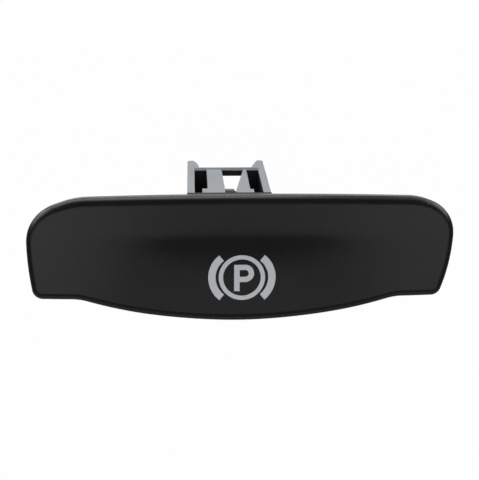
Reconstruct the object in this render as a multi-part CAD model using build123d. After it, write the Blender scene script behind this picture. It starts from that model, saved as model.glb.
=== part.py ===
"""Release handle of a foot-operated parking brake: a moulded grip on a sliding tail.

Millimetres. X runs to the driver's right, Y into the dashboard and Z up. The origin
lies on the tail's middle line, in the plane of the grip's back cover.
"""
import os
from math import exp, radians, tan

from build123d import *

# grip outline, seen from the front
grip_width = 113.2
grip_shift = 2.69          # the grip's middle lies this far right of the tail
grip_top = 7.05            # at the face; the sides draw in from there to the back
top_crown = 1.0            # the top edge rises this much from its ends to the middle
wing_bottom = -21.35
chin_bottom = -27.4
wing_left = 13.95          # flat underside from the left end to the chin's arc
wing_right = 15.95
chin_blend = 15.0
top_left_round = 11.0
top_right_round = 10.0
shoulder_left = 12.9       # from the left end to where the top edge starts to fall
shoulder_right = 9.9
shoulder_fall = 19.0       # degrees
shoulder_left_round = 22.0
shoulder_right_round = 16.0
bottom_round = 3.2
least_round = 0.4          # tightest round of the hollow's corners
left_widest = -9.5         # height at which the left end is widest
right_widest = -6.0
left_slant = 1.6           # the end comes in this much at its foot
right_slant = 3.8
end_bulge = 0.7            # the ends come in this much at the top

# grip face, seen from the side
face_front = -14.2         # Y of the face in the middle, at height 0
face_lean = 0.1
face_bow = 1.6             # the ends lie this much further back than the middle
crease_height = -4.0
crease_round = 1.2
dish_depth = 1.5           # the face falls back under the crease, fast at first
dish_run = 4.5
dish_reach = 25.0          # dish and chin fade out this far from the middle
flare_start = 7.0          # the chin comes forward again this far under the crease
chin_flare = 0.5
chin_run = 15.0
face_round = 2.0
side_draft = 0.17          # the sides draw in by this share of the depth behind the face

# front shell
wall = 2.4
rim_back = -7.0            # Y of the shell's back edge
back_round = 0.6           # round on the shell's back edge
ledge_inset = 1.3          # wall left round the cover
lip_back = -13.0           # Y of the lip's back edge at the chin
cheek_turn = -11.0         # below this height the back edge runs forward

# rear cover
cover_wall = 2.0
cover_gap = 0.2
cover_bottom = -12.0
dome_half = 27.0
dome_top = 3.4
dome_side_round = 4.0
dome_back_round = 1.6

# tail core
tail_half = 11.62
tail_bottom = -6.2
core_top = 2.45
tail_back = 30.1
root_half = 11.3
root_top = 1.0
flange_half = 18.0
flange_bottom = -7.4
flange_front = -7.6
flange_thickness = 2.6
passage_gap = 0.35
dome_clearance = 0.4       # the tail's shoulder stands this far behind the cover
floor = 1.2
back_wall = 1.5
beam_height = 1.7          # bar over the cable's window, under the frame

# guide frame
frame_front = 4.2          # Y of the frame's near end, against the core's shoulder
frame_skin = 0.35
wall_width = 2.13          # rail and the core's wall beside it
rail_width = 1.1
rail_depth = 3.0
rib_left_reach = 5.91      # from the tail's middle to the left rib's outer side
rib_right_reach = 5.99
rib_width = 4.8
bar_lip = 0.45             # lip that stands up along the crossbar's front
bar_lip_width = 0.6
window_near = 8.0
window_slant = 0.35        # the window's left side runs out this much towards the back
window_corner = 1.6        # cut at the window's near right corner
window_near_width = 3.1
window_back_width = 6.15
lip_width = 0.8            # upstand at the window's near end
fin_length = 10.1
fin_root_left = 3.4
fin_root_right = 4.2
fin_tip_left = 1.2
fin_tip_right = 1.5
fin_round = 1.4
fin_bulge_left = 0.6
fin_bulge_right = 0.08
rail_round = 0.5           # round along each rail's outer top edge
edge_round = 0.2           # round along the edges of the cells
tab_left_width = 1.5
tab_left_reach = 8.2
tab_right_width = 0.9
tab_right_reach = 7.5
tab_leg = 1.0
tab_leg_depth = 3.2

# cable seat
nipple_hole = 6.2
nipple_height = 6.6        # depth of the seat, from the tail's underside
nipple_y = 4.5
nipple_x = 0.6
cable_slot = 2.2

# fixings
cover_screw_x = 22.4
cover_screw_heights = (-1.3, -7.4)
cover_screw_length = 8.0
tail_screw_gap = 0.4       # between a tail screw's head and the root's side
tail_screw_height = -2.6
tail_screw_length = 6.0
screw_shank = 2.2
screw_head = 4.6
screw_head_height = 1.5
pilot_gap = 0.2
hole_gap = 0.35
boss_wall = 1.2
head_seat = 0.6            # depth of the recess under a cover screw's head
buffer_x = 17.2
buffer_height = -4.3
buffer_width = 6.0
buffer_thickness = 2.0
buffer_stem = 2.8
buffer_bead = 3.8
buffer_bead_length = 1.0

grip_half = grip_width / 2
frame_top = core_top + frame_skin
cell_edge = tail_half - wall_width
rail_edge = tail_half - rail_width
rib_left = -rib_left_reach
window_left = rib_left + rib_width
rib_right = rib_right_reach
bar_front = tail_back - back_wall
tail_screw_x = root_half + tail_screw_gap + screw_head / 2
pilot = screw_shank + 2 * pilot_gap
screw_hole = screw_shank + 2 * hole_gap
boss = pilot + 2 * boss_wall


def block(x0, x1, y0, y1, z0, z1):
    """Box between two corners."""
    return Pos((x0 + x1) / 2, (y0 + y1) / 2, (z0 + z1) / 2) * Box(x1 - x0, y1 - y0, z1 - z0)


def rod(x, z, diameter, y0, y1):
    """Round bar along Y."""
    return Pos(x, (y0 + y1) / 2, z) * Rot(90, 0, 0) * Cylinder(diameter / 2, y1 - y0)


def disc(first, middle, last, inset, inner=None):
    """Disc whose rim runs through three points, made smaller by inset.

    With inner it also fills the side of its centre that the grip's body lies on.
    """
    (ax, ay), (bx, by), (cx, cy) = first, middle, last
    bend = 2 * (ax * (by - cy) + bx * (cy - ay) + cx * (ay - by))
    aa, bb, cc = ax * ax + ay * ay, bx * bx + by * by, cx * cx + cy * cy
    x = (aa * (by - cy) + bb * (cy - ay) + cc * (ay - by)) / bend
    y = (aa * (cx - bx) + bb * (ax - cx) + cc * (bx - ax)) / bend
    radius = ((ax - x) ** 2 + (ay - y) ** 2) ** 0.5 - inset
    shape = Pos(x, y) * Circle(radius)
    if inner:
        shape += Pos(x, y) * Rectangle(2 * grip_width, 2 * radius, align=(inner, Align.CENTER))
    return shape


def grip_outline(inset=0.0):
    """Front outline of the grip in the XZ plane, drawn in by inset."""
    left, right = grip_shift - grip_half, grip_shift + grip_half
    top_left = (left + end_bulge, grip_top - top_crown)
    top_right = (right - end_bulge, grip_top - top_crown)
    foot_left = (left + left_slant, wing_bottom)
    foot_right = (right - right_slant, wing_bottom)
    chin_left = (left + wing_left, wing_bottom)
    chin_right = (right - wing_right, wing_bottom)
    chin_middle = (chin_left[0] + chin_right[0]) / 2
    wings = Pos(grip_shift, wing_bottom + inset) * Rectangle(
        2 * grip_width, 2 * grip_width, align=(Align.CENTER, Align.MIN))
    shape = wings + disc(chin_right, (chin_middle, chin_bottom), chin_left, inset)
    shape &= disc(top_left, (grip_shift, grip_top), top_right, inset)
    shape &= disc(foot_left, (left, left_widest), top_left, inset, Align.MIN)
    shape &= disc(foot_right, (right, right_widest), top_right, inset, Align.MAX)
    corners = []
    for x, turn, end, round_off in ((left + shoulder_left, shoulder_fall, left, shoulder_left_round),
                                    (right - shoulder_right, -shoulder_fall, right,
                                     shoulder_right_round)):
        bend = (x, grip_top - top_crown * ((x - grip_shift) / grip_half) ** 2)
        shape &= Pos(*bend) * Rot(0, 0, turn) * Pos(0, -inset) * Rectangle(
            4 * grip_width, 2 * grip_width, align=(Align.CENTER, Align.MAX))
        corners.append((bend, round_off - inset))
        corners.append(((end, bend[1] - abs(x - end) * tan(radians(shoulder_fall))),
                        (top_left_round if turn > 0 else top_right_round) - inset))
    for corner, radius in (*corners,
                           (foot_left, bottom_round - inset),
                           (foot_right, bottom_round - inset),
                           (chin_left, chin_blend + inset),
                           (chin_right, chin_blend + inset)):
        spot = shape.vertices().sort_by_distance((corner[0], corner[1], 0))[0]
        shape = fillet(spot, max(radius, least_round))
    return Plane.XZ * shape


def face_y(x, z):
    """Y of the grip's face: leaning, bowed, dished under the crease and flared at the chin."""
    across = x - grip_shift
    fade = 1 / (1 + abs(across / dish_reach) ** 4)
    below = crease_height - z
    eased = (below + (below * below + crease_round ** 2) ** 0.5) / 2
    step = dish_depth * (1 - exp(-eased / dish_run))
    flare = chin_flare * (max(below - flare_start, 0) / chin_run) ** 2
    return (face_front + face_bow * (across / grip_half) ** 2 + face_lean * z
            + fade * (step - flare))


def in_front(depth=0.0, columns=33, rows=43):
    """Solid that fills everything in front of the face, pushed back by depth."""
    x0, x1 = grip_shift - grip_half - 4, grip_shift + grip_half + 4
    z0, z1 = chin_bottom - 4, grip_top + 4
    grid = []
    for i in range(columns):
        x = x0 + (x1 - x0) * i / (columns - 1)
        heights = [z0 + (z1 - z0) * j / (rows - 1) for j in range(rows)]
        grid.append([Vector(x, face_y(x, z) + depth, z) for z in heights])
    skin = Face.make_surface_from_array_of_points(grid, tol=0.002, min_deg=3, max_deg=5)
    return extrude(skin, amount=40, dir=(0, -1, 0))


def prism(inset, y0, y1):
    """Grip outline, drawn in by inset and by the draft, between two depths."""
    ends = [Pos(0, y, 0) * grip_outline(inset + side_draft * (y - face_front)) for y in (y0, y1)]
    return loft(ends, ruled=True)


def boss_at(x, z, end, hole_end):
    """Screw boss that stands on the shell's inner face, and its pilot hole."""
    root = face_y(x, z) + wall / 2
    return rod(x, z, boss, root, end), rod(x, z, pilot, hole_end, end + 1)


def front_shell():
    reach = face_front - chin_flare - 14
    body = prism(0, reach, rim_back) - in_front()
    profile = make_face(Curve() + [
        Line((rim_back, cheek_turn), (rim_back + 9, cheek_turn)),
        Line((rim_back + 9, cheek_turn), (rim_back + 9, chin_bottom - 3)),
        Line((rim_back + 9, chin_bottom - 3), (lip_back, chin_bottom - 3)),
        Line((lip_back, chin_bottom - 3), (lip_back, chin_bottom)),
        TangentArc((rim_back, cheek_turn), (lip_back, chin_bottom), tangent=(0, -1)),
    ])
    body -= extrude(Plane.YZ * profile, amount=grip_width, both=True)
    rim = [e for e in body.edges() if abs(e.center().Y - face_y(e.center().X, e.center().Z)) < 0.3]
    body = fillet(rim, face_round)
    back = [e for e in body.edges() if abs(e.center().Y - rim_back) < 0.01
            and e.center().Z > cheek_turn]
    body = fillet(back, back_round)
    hollow = prism(wall, face_front, rim_back + 3) - in_front(wall)
    ledge = prism(ledge_inset, rim_back - cover_wall, rim_back + 3)
    ledge -= block(-90, 90, -60, 20, chin_bottom - 9, cover_bottom)
    body = body - hollow - ledge
    for side in (-1, 1):
        for z in cover_screw_heights:
            post, pilot_hole = boss_at(side * cover_screw_x, z, -cover_wall,
                                       -cover_screw_length - 1)
            body = body + post - pilot_hole
        post, pilot_hole = boss_at(side * tail_screw_x, tail_screw_height, flange_front,
                                   flange_front + flange_thickness - tail_screw_length - 0.5)
        body = body + post - pilot_hole
    return body


def rear_cover():
    gap = ledge_inset + cover_gap
    plate = prism(gap, rim_back - cover_wall, rim_back)
    plate -= block(-90, 90, -60, 20, chin_bottom - 9, cover_bottom)
    shelf = prism(wall + cover_gap, face_front, rim_back)
    shelf &= block(-90, 90, -60, 20, cover_bottom, cover_bottom + cover_wall)
    shelf -= in_front(wall + cover_gap)
    dome = block(-dome_half, dome_half, rim_back - cover_wall, 0, cover_bottom, dome_top)
    dome = fillet(dome.edges().filter_by(Axis.Y).group_by(Axis.Z)[-1], dome_side_round)
    dome = fillet(dome.faces().sort_by(Axis.Y)[-1].edges(), dome_back_round)
    room = block(-dome_half + cover_wall, dome_half - cover_wall, -60, -cover_wall,
                 cover_bottom + cover_wall, dome_top - cover_wall)
    body = plate + shelf + dome - room
    passage = root_half + passage_gap
    body -= block(-passage, passage, -cover_wall - 1, 1,
                  tail_bottom - passage_gap, root_top + passage_gap)
    for side in (-1, 1):
        for z in cover_screw_heights:
            body -= rod(side * cover_screw_x, z, screw_hole, -cover_wall - 1, 1)
            body -= rod(side * cover_screw_x, z, screw_head + 2 * hole_gap, -head_seat, 1)
        body -= rod(side * buffer_x, buffer_height, buffer_stem + cover_gap, -cover_wall - 1, 1)
    return body


def window_shape(y_back):
    """Plan of the opening between the ribs, from its near end to y_back."""
    run = bar_front - window_near
    share = (y_back - window_near) / run
    near_right = window_left + window_near_width
    start = window_near - window_corner
    slope = (window_back_width - window_near_width) / (bar_front - start)
    return make_face(Polyline(
        (window_left, window_near), (near_right - window_corner * 0.6, window_near),
        (near_right, start), (near_right + slope * (y_back - start), y_back),
        (window_left - window_slant * share, y_back), close=True))


def cell(x0, x1, bottom):
    """Room of one cell beside the ribs."""
    return block(x0, x1, frame_front, bar_front, bottom, frame_top + 1)


def tail_core():
    flange = block(-flange_half, flange_half, flange_front, flange_front + flange_thickness,
                   flange_bottom, root_top)
    flange = fillet(flange.edges().filter_by(Axis.Y), 2)
    root = block(-root_half, root_half, flange_front, dome_clearance, tail_bottom, root_top)
    shoulder = block(-tail_half, tail_half, dome_clearance, frame_front, tail_bottom, frame_top)
    shoulder = fillet(shoulder.edges().filter_by(Axis.X).group_by(Axis.Z)[-1].sort_by(Axis.Y)[0], 0.6)
    tail = block(-tail_half, tail_half, frame_front, tail_back, tail_bottom, core_top)
    body = flange + root + shoulder + tail
    low = [e for e in body.edges().filter_by(Axis.Y)
           if abs(e.center().Z - tail_bottom) < 0.01 and abs(abs(e.center().X) - tail_half) < 0.01]
    body = fillet(low, 1.2)
    rail_floor = frame_top - rail_depth
    for side in (-1, 1):
        body -= block(*sorted((side * rail_edge, side * (tail_half + 1))),
                      frame_front, tail_back + 1, rail_floor, core_top + 1)
        body -= rod(side * tail_screw_x, tail_screw_height, screw_hole,
                    flange_front - 1, flange_front + flange_thickness + 1)
    body -= cell(-cell_edge, rib_left, tail_bottom + floor)
    body -= cell(rib_right, cell_edge, tail_bottom + floor)
    body -= extrude(Pos(0, 0, tail_bottom - 1) * window_shape(bar_front), amount=20)
    body -= block(window_left - window_slant, window_left + window_back_width, bar_front - 1,
                  tail_back + 1, tail_bottom - 1, core_top - beam_height)
    body -= Pos(nipple_x, nipple_y, tail_bottom + nipple_height / 2) * Cylinder(
        nipple_hole / 2, nipple_height)
    body -= block(nipple_x - cable_slot / 2, nipple_x + cable_slot / 2, nipple_y,
                  window_near + 1, tail_bottom - 1, tail_bottom + nipple_height)
    return body


def fin(side, root_width, tip_width, bulge):
    """Rear fin that carries a rail past the crossbar, with a rounded back end."""
    tip = tail_back + fin_length
    x0, x1, x2 = (side * (tail_half - width) for width in (0, tip_width, root_width))
    middle = ((x1 + x2) / 2 - side * bulge, (tail_back + tip) / 2 + bulge)
    plan = make_face(Curve() + [
        Line((x0, tail_back), (x0, tip)), Line((x0, tip), (x1, tip)),
        ThreePointArc((x1, tip), middle, (x2, tail_back)), Line((x2, tail_back), (x0, tail_back))])
    body = extrude(Pos(0, 0, frame_top - rail_depth) * plan, amount=rail_depth)
    return fillet(body.edges().filter_by(Axis.X).group_by(Axis.Y)[-1], fin_round)


def guide_frame():
    """Grey sleeve over the core's tail: rails outside, skin on top, fins and clips."""
    skin = block(-tail_half, tail_half, frame_front, tail_back, core_top, frame_top)
    skin -= cell(-cell_edge, rib_left, core_top - 1)
    skin -= cell(rib_right, cell_edge, core_top - 1)
    skin -= extrude(Pos(0, 0, core_top - 1) * window_shape(bar_front), amount=frame_skin + 2)
    skin -= block(window_left, window_left + window_near_width, frame_front - 1,
                  window_near - lip_width, core_top - 1, frame_top + 1)
    skin += block(-cell_edge, cell_edge, bar_front, bar_front + bar_lip_width,
                  core_top, frame_top + bar_lip)
    body = skin
    for side in (-1, 1):
        body += block(*sorted((side * rail_edge, side * tail_half)),
                      frame_front, tail_back, frame_top - rail_depth, frame_top)
    body += fin(-1, fin_root_left, fin_tip_left, fin_bulge_left)
    body += fin(1, fin_root_right, fin_tip_right, fin_bulge_right)
    for edge, width, reach in ((rib_left, -tab_left_width, tab_left_reach),
                               (rib_right, tab_right_width, tab_right_reach)):
        x0, x1 = sorted((edge, edge + width))
        body += block(x0, x1, frame_front, reach, core_top, frame_top)
        body += block(x0, x1, reach - tab_leg, reach, frame_top - tab_leg_depth, frame_top)
    edges = [e for e in body.edges().filter_by(Axis.Y) if abs(e.center().Z - frame_top) < 0.01
             and abs(abs(e.center().X) - tail_half) < 0.01]
    body = fillet(edges, rail_round)
    inner = [e for e in body.edges().filter_by(Axis.Y) if abs(e.center().Z - frame_top) < 0.01
             and e.length > 10 and abs(e.center().X) < cell_edge + 0.01]
    return fillet(inner, edge_round)


def screw(x, z, seat, length):
    """Pan-head screw driven from behind, its head's underside at Y = seat."""
    head = rod(x, z, screw_head, seat, seat + screw_head_height)
    head = fillet(head.edges().sort_by(Axis.Y)[-1], screw_head_height * 0.6)
    return head + rod(x, z, screw_shank, seat - length, seat)


def stop_buffer(x):
    """Rubber button whose bead holds it in the cover's hole."""
    pad = rod(x, buffer_height, buffer_width, 0, buffer_thickness)
    pad = fillet(pad.edges().sort_by(Axis.Y)[-1], 0.6)
    stem = rod(x, buffer_height, buffer_stem, -cover_wall, 0)
    bead = rod(x, buffer_height, buffer_bead, -cover_wall - buffer_bead_length, -cover_wall)
    return pad + stem + bead


os.makedirs("parts", exist_ok=True)
export_step(front_shell(), "parts/grip_front_shell.step")
export_step(rear_cover(), "parts/grip_rear_cover.step")
export_step(tail_core(), "parts/tail_core.step")
export_step(guide_frame(), "parts/guide_frame.step")
number = 0
for side in (-1, 1):
    name = "left" if side < 0 else "right"
    for z in cover_screw_heights:
        number += 1
        export_step(screw(side * cover_screw_x, z, -head_seat, cover_screw_length),
                    f"parts/cover_screw_{number}.step")
    export_step(screw(side * tail_screw_x, tail_screw_height, flange_front + flange_thickness,
                      tail_screw_length), f"parts/tail_screw_{name}.step")
    export_step(stop_buffer(side * buffer_x), f"parts/stop_buffer_{name}.step")
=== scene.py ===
"""Release handle of a foot-operated parking brake, dressed as it looks when new."""
from math import cos, exp, hypot, pi, radians, sin

import bmesh
import bpy
from mathutils import Matrix, Vector


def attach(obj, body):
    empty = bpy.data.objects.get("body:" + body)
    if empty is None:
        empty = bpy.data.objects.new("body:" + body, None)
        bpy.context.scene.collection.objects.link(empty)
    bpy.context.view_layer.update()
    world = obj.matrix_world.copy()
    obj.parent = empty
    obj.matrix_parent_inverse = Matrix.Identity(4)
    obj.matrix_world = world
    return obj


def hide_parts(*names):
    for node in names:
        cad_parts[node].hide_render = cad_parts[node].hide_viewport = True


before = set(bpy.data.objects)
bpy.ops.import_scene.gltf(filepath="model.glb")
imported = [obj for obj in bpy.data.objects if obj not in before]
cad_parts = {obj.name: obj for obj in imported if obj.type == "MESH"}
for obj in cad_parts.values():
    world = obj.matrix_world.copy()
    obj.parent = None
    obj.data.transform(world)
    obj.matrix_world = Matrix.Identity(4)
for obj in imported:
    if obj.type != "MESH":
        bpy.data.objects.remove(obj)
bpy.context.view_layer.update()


# Grip, front shell.
# The big visible moulding: black ABS, shot in one piece, with a fine even grain from
# the spark-eroded tool and a satin sheen. The back cover screws to it from behind.
class Socket:
    """A shader output that can be used in Python expressions."""

    def __init__(self, tree, link=None):
        self.tree, self.link = tree, link

    def plug(self, node, values):
        """Gives a node's sockets, by name or by place, their values or links."""
        for name, value in values.items():
            place = int(name[1:]) if name[0] == "_" else name.replace("_", " ")
            if isinstance(value, Socket):
                self.tree.links.new(value.link, node.inputs[place])
            else:
                node.inputs[place].default_value = value

    def node(self, kind, settings=None, **values):
        """Adds a node: its settings are set first, then its sockets."""
        made = self.tree.nodes.new(kind)
        for name, value in (settings or {}).items():
            setattr(made, name, value)
        self.plug(made, values)
        return made

    def out(self, kind, output, settings=None, **values):
        """Adds a node and gives one of its outputs."""
        return Socket(self.tree, self.node(kind, settings, **values).outputs[output])

    def math(self, operation, a, b):
        return self.out("ShaderNodeMath", 0, {"operation": operation}, _0=a, _1=b)

    def __add__(self, other):
        return self.math("ADD", self, other)

    def __radd__(self, other):
        return self.math("ADD", other, self)

    def __mul__(self, other):
        return self.math("MULTIPLY", self, other)

    def __rmul__(self, other):
        return self.math("MULTIPLY", other, self)

    def noise(self, per_metre, detail, roughness):
        """Even noise from 0 to 1, with so many lumps to the metre."""
        return self.out("ShaderNodeTexNoise", "Fac", Vector=self, Scale=per_metre,
                        Detail=detail, Roughness=roughness)

    def between(self, dark, light):
        """Colour mixed from dark to light by this value, on the Mix node's colour sockets."""
        return self.out("ShaderNodeMix", 2, {"data_type": "RGBA"}, _0=self,
                        _6=(*dark, 1), _7=(*light, 1))

    def relief(self, depth):
        """Normal of a surface with this height, in metres of depth."""
        return self.out("ShaderNodeBump", "Normal", Strength=1.0, Distance=depth, Height=self)


def finish_of(name, look):
    """Material whose look is built by look(place) in object coordinates."""
    made = bpy.data.materials.new(name)
    made.use_nodes = True
    start = Socket(made.node_tree)
    place = start.out("ShaderNodeTexCoord", "Object")
    start.plug(made.node_tree.nodes["Principled BSDF"], look(place))
    return made


def dress(node, material):
    """Gives a CAD node its finish."""
    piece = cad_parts[node]
    for place in piece.material_slots:
        place.material = material
    if not piece.material_slots:
        piece.data.materials.append(material)


grip_dark, grip_light = (0.0025, 0.0026, 0.0028), (0.004, 0.0041, 0.0044)
grip_grain_per_metre, grip_patches_per_metre = 5200, 90
grip_grain_depth = 0.00001


def grained_black(place):
    grain = place.noise(grip_grain_per_metre, 3, 0.6)
    patches = place.noise(grip_patches_per_metre, 3, 0.55)
    return dict(
        Base_Color=(patches * 0.7 + grain * 0.3).between(grip_dark, grip_light),
        Roughness=0.24 + patches * 0.03 + grain * 0.04,
        Normal=grain.relief(grip_grain_depth),
        Specular_IOR_Level=0.29)


dress("grip_front_shell", finish_of("grip_black", grained_black))


# Printed brake sign.
# Light grey pad-printed ink on the middle of the face: a ring round a P, between two
# arcs, as controls of this kind carry it. It stands a twentieth of a millimetre proud.
mm = 0.001
scene = bpy.context.scene
sign_x, sign_z = 2.65, -15.0
ring_inner, ring_outer = 4.95, 6.1
arc_inner, arc_outer, arc_turn = 5.9, 7.85, radians(51)
arc_shift = 1.03
stem_left, stem_right, letter_top, letter_bottom = -2.05, -0.6, 3.45, -3.7
bowl_right, bowl_bottom, bowl_stroke = 3.2, -1.25, 1.42
ink_depth = 0.05
ring_steps, arc_steps, stem_steps, turn_steps, straight_steps = 160, 96, 24, 48, 8
weld_gap = 1e-7
ink_dark, ink_light = (0.415, 0.429, 0.449), (0.498, 0.514, 0.538)
ink_specks_per_metre = 4000
grip_face = dict(front=-14.2, middle=2.69, half=56.6, bow=1.6, lean=0.1, crease=-4.0, ease=1.2,
                 dish=1.5, run=4.5, reach=25.0, start=7.0, flare=0.5, chin=15.0)


def face_y(x, z):
    """Y of the grip's face in millimetres, as the shell is moulded."""
    f = grip_face
    across = x - f["middle"]
    fade = 1 / (1 + abs(across / f["reach"]) ** 4)
    below = f["crease"] - z
    eased = (below + hypot(below, f["ease"])) / 2
    step = f["dish"] * (1 - exp(-eased / f["run"]))
    flare = f["flare"] * (max(below - f["start"], 0) / f["chin"]) ** 2
    return f["front"] + f["bow"] * (across / f["half"]) ** 2 + f["lean"] * z + fade * (step - flare)


def add_piece(name, mesh, material):
    """Puts a finished mesh into the scene as a piece of the handle."""
    data = bpy.data.meshes.new(name)
    mesh.to_mesh(data)
    mesh.free()
    piece = bpy.data.objects.new(name, data)
    scene.collection.objects.link(piece)
    data.materials.append(material)
    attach(piece, "root")
    return piece


def ink_band(mesh, outer, inner):
    """Printed strip between two lines of points given in the plane of the sign."""
    front, back = [], []
    for line in (outer, inner):
        for store, lift in ((front, ink_depth), (back, -ink_depth)):
            store.append([mesh.verts.new(Vector((
                sign_x + u, face_y(sign_x + u, sign_z + v) - lift, sign_z + v)) * mm)
                for u, v in line])
    for i in range(len(outer) - 1):
        mesh.faces.new((front[0][i], front[0][i + 1], front[1][i + 1], front[1][i]))
        mesh.faces.new((back[0][i], back[1][i], back[1][i + 1], back[0][i + 1]))
        for k in (0, 1):
            mesh.faces.new((front[k][i], back[k][i], back[k][i + 1], front[k][i + 1]))
    return front, back


def close_ends(mesh, front, back):
    """Closes the two ends of an open strip."""
    for i in (0, -1):
        mesh.faces.new((front[0][i], front[1][i], back[1][i], back[0][i]))


def arc_points(radius, start, end, steps, shift=0.0):
    """Points on an arc round the sign's middle, or round a point shifted sideways."""
    return [(shift + radius * cos(start + (end - start) * i / steps),
             radius * sin(start + (end - start) * i / steps)) for i in range(steps + 1)]


def bowl_line(centre, radius):
    """Outline of the letter's bowl, from the stem's top round to the stem again."""
    cx, cz = centre
    top = [(stem_right + (cx - stem_right) * i / straight_steps, cz + radius)
           for i in range(straight_steps)]
    turn = [(cx + radius * sin(pi * i / turn_steps), cz + radius * cos(pi * i / turn_steps))
            for i in range(turn_steps + 1)]
    low = [(cx + (stem_right - cx) * i / straight_steps, cz - radius)
           for i in range(1, straight_steps + 1)]
    return top + turn + low


def ink_look(place):
    specks = place.noise(ink_specks_per_metre, 3, 0.6)
    return dict(
        Base_Color=(specks * 0.8).between(ink_dark, ink_light),
        Roughness=0.5 + specks * 0.1,
        IOR=1.45)


ink = finish_of("sign_ink", ink_look)

ring = bmesh.new()
ink_band(ring, arc_points(ring_outer, 0, 2 * pi, ring_steps),
         arc_points(ring_inner, 0, 2 * pi, ring_steps))
bmesh.ops.remove_doubles(ring, verts=ring.verts, dist=weld_gap)
bmesh.ops.recalc_face_normals(ring, faces=ring.faces)
add_piece("sign_ring", ring, ink)

for side, name in ((-1, "sign_arc_left"), (1, "sign_arc_right")):
    arc = bmesh.new()
    middle = 0 if side > 0 else pi
    front, back = ink_band(arc, *(
        arc_points(radius, middle - arc_turn, middle + arc_turn, arc_steps, side * arc_shift)
        for radius in (arc_outer, arc_inner)))
    close_ends(arc, front, back)
    bmesh.ops.recalc_face_normals(arc, faces=arc.faces)
    add_piece(name, arc, ink)

letter = bmesh.new()
stem_heights = [letter_top + (letter_bottom - letter_top) * i / stem_steps
                for i in range(stem_steps + 1)]
front, back = ink_band(letter, [(stem_left, v) for v in stem_heights],
                       [(stem_right, v) for v in stem_heights])
close_ends(letter, front, back)
bowl_radius = (letter_top - bowl_bottom) / 2
bowl_centre = (bowl_right - bowl_radius, (letter_top + bowl_bottom) / 2)
front, back = ink_band(letter, bowl_line(bowl_centre, bowl_radius),
                       bowl_line(bowl_centre, bowl_radius - bowl_stroke))
close_ends(letter, front, back)
bmesh.ops.recalc_face_normals(letter, faces=letter.faces)
add_piece("sign_letter", letter, ink)


# Rear cover.
# The black moulding that closes the grip from behind, with a raised dome that takes
# the tail's root. It lies in a ledge of the shell and is held by four screws.
cover_dark, cover_light = (0.014, 0.0142, 0.0148), (0.022, 0.0222, 0.023)
cover_grain_per_metre, cover_patches_per_metre = 3600, 70
cover_grain_depth = 0.000014


def plain_black(place):
    grain = place.noise(cover_grain_per_metre, 2, 0.55)
    patches = place.noise(cover_patches_per_metre, 3, 0.5)
    return dict(
        Base_Color=patches.between(cover_dark, cover_light),
        Roughness=0.44 + patches * 0.08 + grain * 0.05,
        Normal=grain.relief(cover_grain_depth),
        IOR=1.5)


dress("grip_rear_cover", finish_of("cover_black", plain_black))


# Tail core.
# The stiff slide that carries the pull: glass-filled black nylon with two weight-saving
# cells and the cable's window, screwed into the grip by its flange.
core_dark, core_light = (0.005, 0.005, 0.0053), (0.012, 0.012, 0.0124)
fibres_per_metre, flow_per_metre = 2600, 160
fibre_depth = 0.00003


def glass_filled_black(place):
    fibres = place.noise(fibres_per_metre, 4, 0.7)
    flow = place.noise(flow_per_metre, 4, 0.6)
    return dict(
        Base_Color=(flow * 0.7 + fibres * 0.3).between(core_dark, core_light),
        Roughness=0.48 + fibres * 0.14,
        Normal=fibres.relief(fibre_depth),
        Specular_IOR_Level=0.32)


dress("tail_core", finish_of("core_black", glass_filled_black))


# Guide frame.
# The light grey low-friction part that runs in the car's guide: two rails, ribs and
# rear fins in one moulding of acetal, clipped over the core.
guide_dark, guide_light = (0.285, 0.3, 0.315), (0.345, 0.363, 0.38)
guide_haze_per_metre, guide_grain_per_metre = 240, 3000
guide_grain_depth = 0.000008
edge_break, edge_segments, edge_angle = 0.2 * mm, 2, radians(50)


def slippery_grey(place):
    haze = place.noise(guide_haze_per_metre, 4, 0.6)
    grain = place.noise(guide_grain_per_metre, 2, 0.5)
    return dict(
        Base_Color=haze.between(guide_dark, guide_light),
        Roughness=0.38 + haze * 0.08 + grain * 0.04,
        Normal=grain.relief(guide_grain_depth),
        IOR=1.48)


dress("guide_frame", finish_of("guide_grey", slippery_grey))
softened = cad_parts["guide_frame"].modifiers.new("edges", "BEVEL")
softened.width, softened.segments = edge_break, edge_segments
softened.limit_method, softened.angle_limit = "ANGLE", edge_angle


# Screws.
# Six zinc-plated thread-forming screws with pan heads and cross recesses: four hold the
# cover to the shell's bosses, two hold the tail's flange inside the grip.
cover_screw_x, cover_screw_heights = 22.4, (-1.3, -7.4)
cover_screw_seat, cover_screw_length = -0.6, 8.0
tail_screw_x, tail_screw_z, tail_screw_seat, tail_screw_length = 14.0, -2.6, -5.0, 6.0
head_radius, head_height, head_edge, head_power = 2.3, 1.5, 0.85, 2.6
recess_arm, recess_half, recess_depth, recess_corner = 1.3, 0.24, 1.05, 0.42
recess_side, recess_end, recess_rise = 0.08, 0.2, 0.55
core_reach, core_steepness = 1.9, 2.2
thread_outer, thread_root, thread_pitch, ridge_half = 1.27, 0.9, 0.95, 0.3
thread_start, point_length, point_blunt = 0.9, 1.2, 0.12
screw_sides, head_rings, rows_per_pitch = 72, 30, 10
sharp_angle = radians(50)
steel_dark, steel_light = (0.46, 0.45, 0.42), (0.62, 0.61, 0.58)
lay_per_metre, bloom_per_metre, lay_depth = 1800, 500, 0.000006


def plated_steel(place):
    lay = place.noise(lay_per_metre, 3, 0.6)
    bloom = place.noise(bloom_per_metre, 3, 0.5)
    return dict(
        Base_Color=bloom.between(steel_dark, steel_light),
        Metallic=1.0,
        Roughness=0.26 + lay * 0.14,
        Normal=lay.relief(lay_depth))


steel = finish_of("screw_steel", plated_steel)


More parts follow.
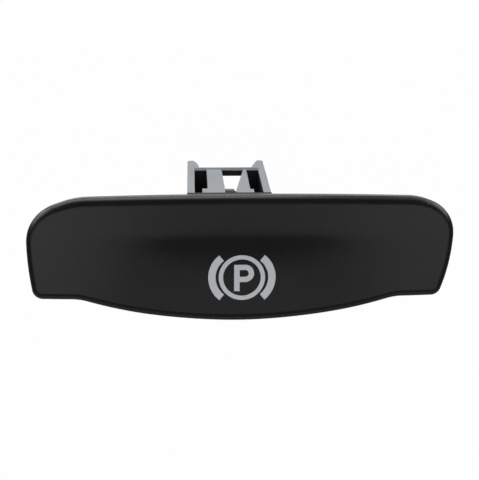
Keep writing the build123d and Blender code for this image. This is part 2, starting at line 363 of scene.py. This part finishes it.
def head_top(radius):
    """Height of the pan head over its seat at this distance from its axis."""
    rise = head_height - head_edge
    return head_edge + rise * (1 - (radius / head_radius) ** head_power) ** 0.5


def slope_up(gap, width):
    """0 where the gap is closed, 1 from this width on, and straight between."""
    return min(max(gap / width, 0), 1)


def recess(u, v):
    """Depth of the cross recess at a point of the head, seen along the axis."""
    short, long = sorted((abs(u), abs(v)))
    core = max(0.0, 1 - hypot(u, v) / (recess_corner * core_reach))
    arm = slope_up(recess_half - short, recess_side) * slope_up(recess_arm - long, recess_end)
    slope = 1 - recess_rise * long / recess_arm
    return recess_depth * max(arm * slope, min(core * core_steepness, 1))


def screw_piece(node, x, z, seat, length):
    """Screw with its thread and recess, in place of the plain one of the CAD."""
    mesh = bmesh.new()
    turns = [2 * pi * i / screw_sides for i in range(screw_sides)]
    rows = []
    for k in range(head_rings, 0, -1):
        radius = head_radius * k / head_rings
        rows.append([mesh.verts.new(Vector((
            x + radius * cos(turn),
            seat + head_top(radius) - recess(radius * cos(turn), radius * sin(turn)),
            z + radius * sin(turn))) * mm) for turn in turns])
    rows.insert(0, [mesh.verts.new((v.co.x, seat * mm, v.co.z)) for v in rows[0]])
    shank_rows = round(length / thread_pitch * rows_per_pitch)
    for k in range(shank_rows + 1):
        depth = length * k / shank_rows
        taper = min(1, (length - depth) / point_length + point_blunt)
        row = []
        for i, turn in enumerate(turns):
            phase = (depth / thread_pitch - i / screw_sides) % 1
            ridge = max(0.0, 1 - abs(phase - 0.5) / ridge_half) * min(1, depth / thread_start)
            radius = (thread_root + (thread_outer - thread_root) * ridge) * taper
            row.append(mesh.verts.new(Vector((
                x + radius * cos(turn), seat - depth, z + radius * sin(turn))) * mm))
        rows.insert(0, row)
    for first, second in zip(rows, rows[1:]):
        for i in range(screw_sides):
            mesh.faces.new((first[i], first[i - 1], second[i - 1], second[i]))
    for row in (rows[0], rows[-1]):
        centre = sum((v.co for v in row), Vector()) / screw_sides
        if row is rows[-1]:
            centre.y = (seat + head_top(0) - recess_depth) * mm
        tip = mesh.verts.new(centre)
        for i in range(screw_sides):
            mesh.faces.new((row[i - 1], row[i], tip))
    bmesh.ops.recalc_face_normals(mesh, faces=mesh.faces)
    for face in mesh.faces:
        face.smooth = True
    for edge in mesh.edges:
        if edge.calc_face_angle(0) > sharp_angle:
            edge.smooth = False
    piece = add_piece(node + "_threaded", mesh, steel)
    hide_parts(node)


number = 0
for x in (-cover_screw_x, cover_screw_x):
    for z in cover_screw_heights:
        number += 1
        screw_piece(f"cover_screw_{number}", x, z, cover_screw_seat, cover_screw_length)
screw_piece("tail_screw_left", -tail_screw_x, tail_screw_z, tail_screw_seat, tail_screw_length)
screw_piece("tail_screw_right", tail_screw_x, tail_screw_z, tail_screw_seat, tail_screw_length)


# Stop buffers.
# Two black rubber buttons pressed into the cover's holes. They take the knock when the
# handle is pushed home.
rubber_dark, rubber_light = (0.014, 0.014, 0.0145), (0.026, 0.026, 0.026)
rubber_grain_per_metre, rubber_bloom_per_metre = 3000, 400
rubber_grain_depth = 0.00002


def moulded_rubber(place):
    grain = place.noise(rubber_grain_per_metre, 3, 0.6)
    bloom = place.noise(rubber_bloom_per_metre, 3, 0.5)
    return dict(
        Base_Color=bloom.between(rubber_dark, rubber_light),
        Roughness=0.7 + grain * 0.15,
        Normal=grain.relief(rubber_grain_depth))


rubber = finish_of("buffer_rubber", moulded_rubber)
for node in ("stop_buffer_left", "stop_buffer_right"):
    dress(node, rubber)


# Floor, light and camera.
# The handle hangs by its guide rails over a plain pale table, in a white studio. Soft lamps
# in front show in the black face, and those behind and at the sides light the tail and rim.
floor_dark, floor_light = (0.2, 0.2, 0.2), (0.22, 0.22, 0.22)
floor_clouds_per_metre = 30
floor_drop, floor_half, floor_squares = 0.5, 4.0, 4
gloss_share, white_share, room_light = 0.1, 0.99, 0.05
camera_place = Vector((-10.09, -251.71, 78.46))
turn, tilt, roll = radians(2.9), radians(19.26), radians(0.45)
sensor_width, focal_length = 36, 72.92
nearest, farthest = 0.01, 20


def pale_floor(place):
    clouds = place.noise(floor_clouds_per_metre, 3, 0.5)
    return dict(Base_Color=clouds.between(floor_dark, floor_light), Roughness=0.8)


def seen(start):
    """1 for what the camera sees, also through clear parts, and a small share for gloss."""
    rays = start.node("ShaderNodeLightPath").outputs
    camera_ray, gloss, clear = (Socket(start.tree, rays[f"Is {kind} Ray"])
                                for kind in ("Camera", "Glossy", "Transmission"))
    return camera_ray + clear + gloss * gloss_share


floor_finish = finish_of("floor_pale", pale_floor)
nodes = floor_finish.node_tree.nodes
shown = seen(Socket(floor_finish.node_tree))
share = shown * white_share
lit = Socket(shown.tree, nodes["Principled BSDF"].outputs["BSDF"])
white = shown.out("ShaderNodeEmission", "Emission", Strength=1.0)
mixed = shown.out("ShaderNodeMixShader", 0, _0=share, _1=lit, _2=white)
shown.plug(nodes["Material Output"], {"Surface": mixed})

floor_mesh = bmesh.new()
bmesh.ops.create_grid(floor_mesh, x_segments=floor_squares, y_segments=floor_squares,
                      size=floor_half, matrix=Matrix.Translation((0, 0, -floor_drop)))
floor_data = bpy.data.meshes.new("floor")
floor_mesh.to_mesh(floor_data)
floor_mesh.free()
floor = bpy.data.objects.new("floor", floor_data)
scene.collection.objects.link(floor)
floor_data.materials.append(floor_finish)

world = bpy.data.worlds.new("studio")
scene.world = world
world.use_nodes = True
sky = Socket(world.node_tree)
sky.plug(world.node_tree.nodes["Background"], {
    "Color": (1, 1, 1, 1), "Strength": room_light + seen(sky) * (1 - room_light)})


def lamp(name, place, target, brightness, width, height):
    """Soft lamp, placed and sized in metres, whose whole face shows with this brightness."""
    data = bpy.data.lights.new(name, "AREA")
    data.energy = brightness * pi * width * height
    data.shape = "RECTANGLE"
    data.size, data.size_y = width, height
    made = bpy.data.objects.new(name, data)
    scene.collection.objects.link(made)
    made.location = place
    made.rotation_euler = (Vector(target) - Vector(place)).to_track_quat("-Z", "Y").to_euler()
    return made


lamp("front", (-0.03, -0.62, -0.045), (-0.03, 0, -0.045), 0.67, 1.3, 0.27)
lamp("front left", (-0.27, -0.6, -0.1), (-0.03, 0, -0.03), 1.0, 0.32, 0.2)
lamp("front right", (0.33, -0.6, -0.1), (-0.03, 0, -0.03), 0.75, 0.36, 0.2)
lamp("low", (-0.03, -0.22, -0.45), (0, -0.02, 0), 0.4, 1.3, 0.18)
lamp("behind", (-0.48, 0.5, 0.6), (-0.48, 0, 0), 1.05, 1.2, 0.8)
lamp("left", (-0.85, 0.03, 0.5), (0, 0, 0), 3.0, 1.05, 0.6)
lamp("right", (0.85, 0.03, 0.5), (0, 0, 0), 3.0, 1.05, 0.6)
lamp("rear", (0, 0.75, -0.14), (0, 0, 0), 1.0, 1.4, 0.3)

# Two cards show in gloss alone, and the fill lights without showing in gloss.
card_left = lamp("card", (-0.46, 0.28, 0.63), (-0.46, 0, 0), 1.6, 1.2, 0.62)
card_left.visible_diffuse = False
card_right = lamp("card right", (0.65, 0.36, 0.62), (0.65, 0, 0), 1.25, 0.8, 0.95)
card_right.visible_diffuse = False
fill = lamp("fill", (0, -0.75, 0.45), (0, 0, 0), 2.8, 0.9, 0.6)
fill.visible_glossy = False

forward = Vector((sin(turn) * cos(tilt), cos(turn) * cos(tilt), -sin(tilt)))
right = Vector((cos(turn), -sin(turn), 0))
up = right.cross(forward)
right, up = cos(roll) * right + sin(roll) * up, cos(roll) * up - sin(roll) * right
lens = bpy.data.cameras.new("camera")
lens.sensor_fit = "HORIZONTAL"
lens.sensor_width, lens.lens = sensor_width, focal_length
lens.clip_start, lens.clip_end = nearest, farthest
camera = bpy.data.objects.new("camera", lens)
scene.collection.objects.link(camera)
camera.matrix_world = Matrix.Translation(camera_place * mm) @ Matrix(
    (right, up, -forward)).transposed().to_4x4()
scene.camera = camera

scene.view_settings.view_transform = "Standard"
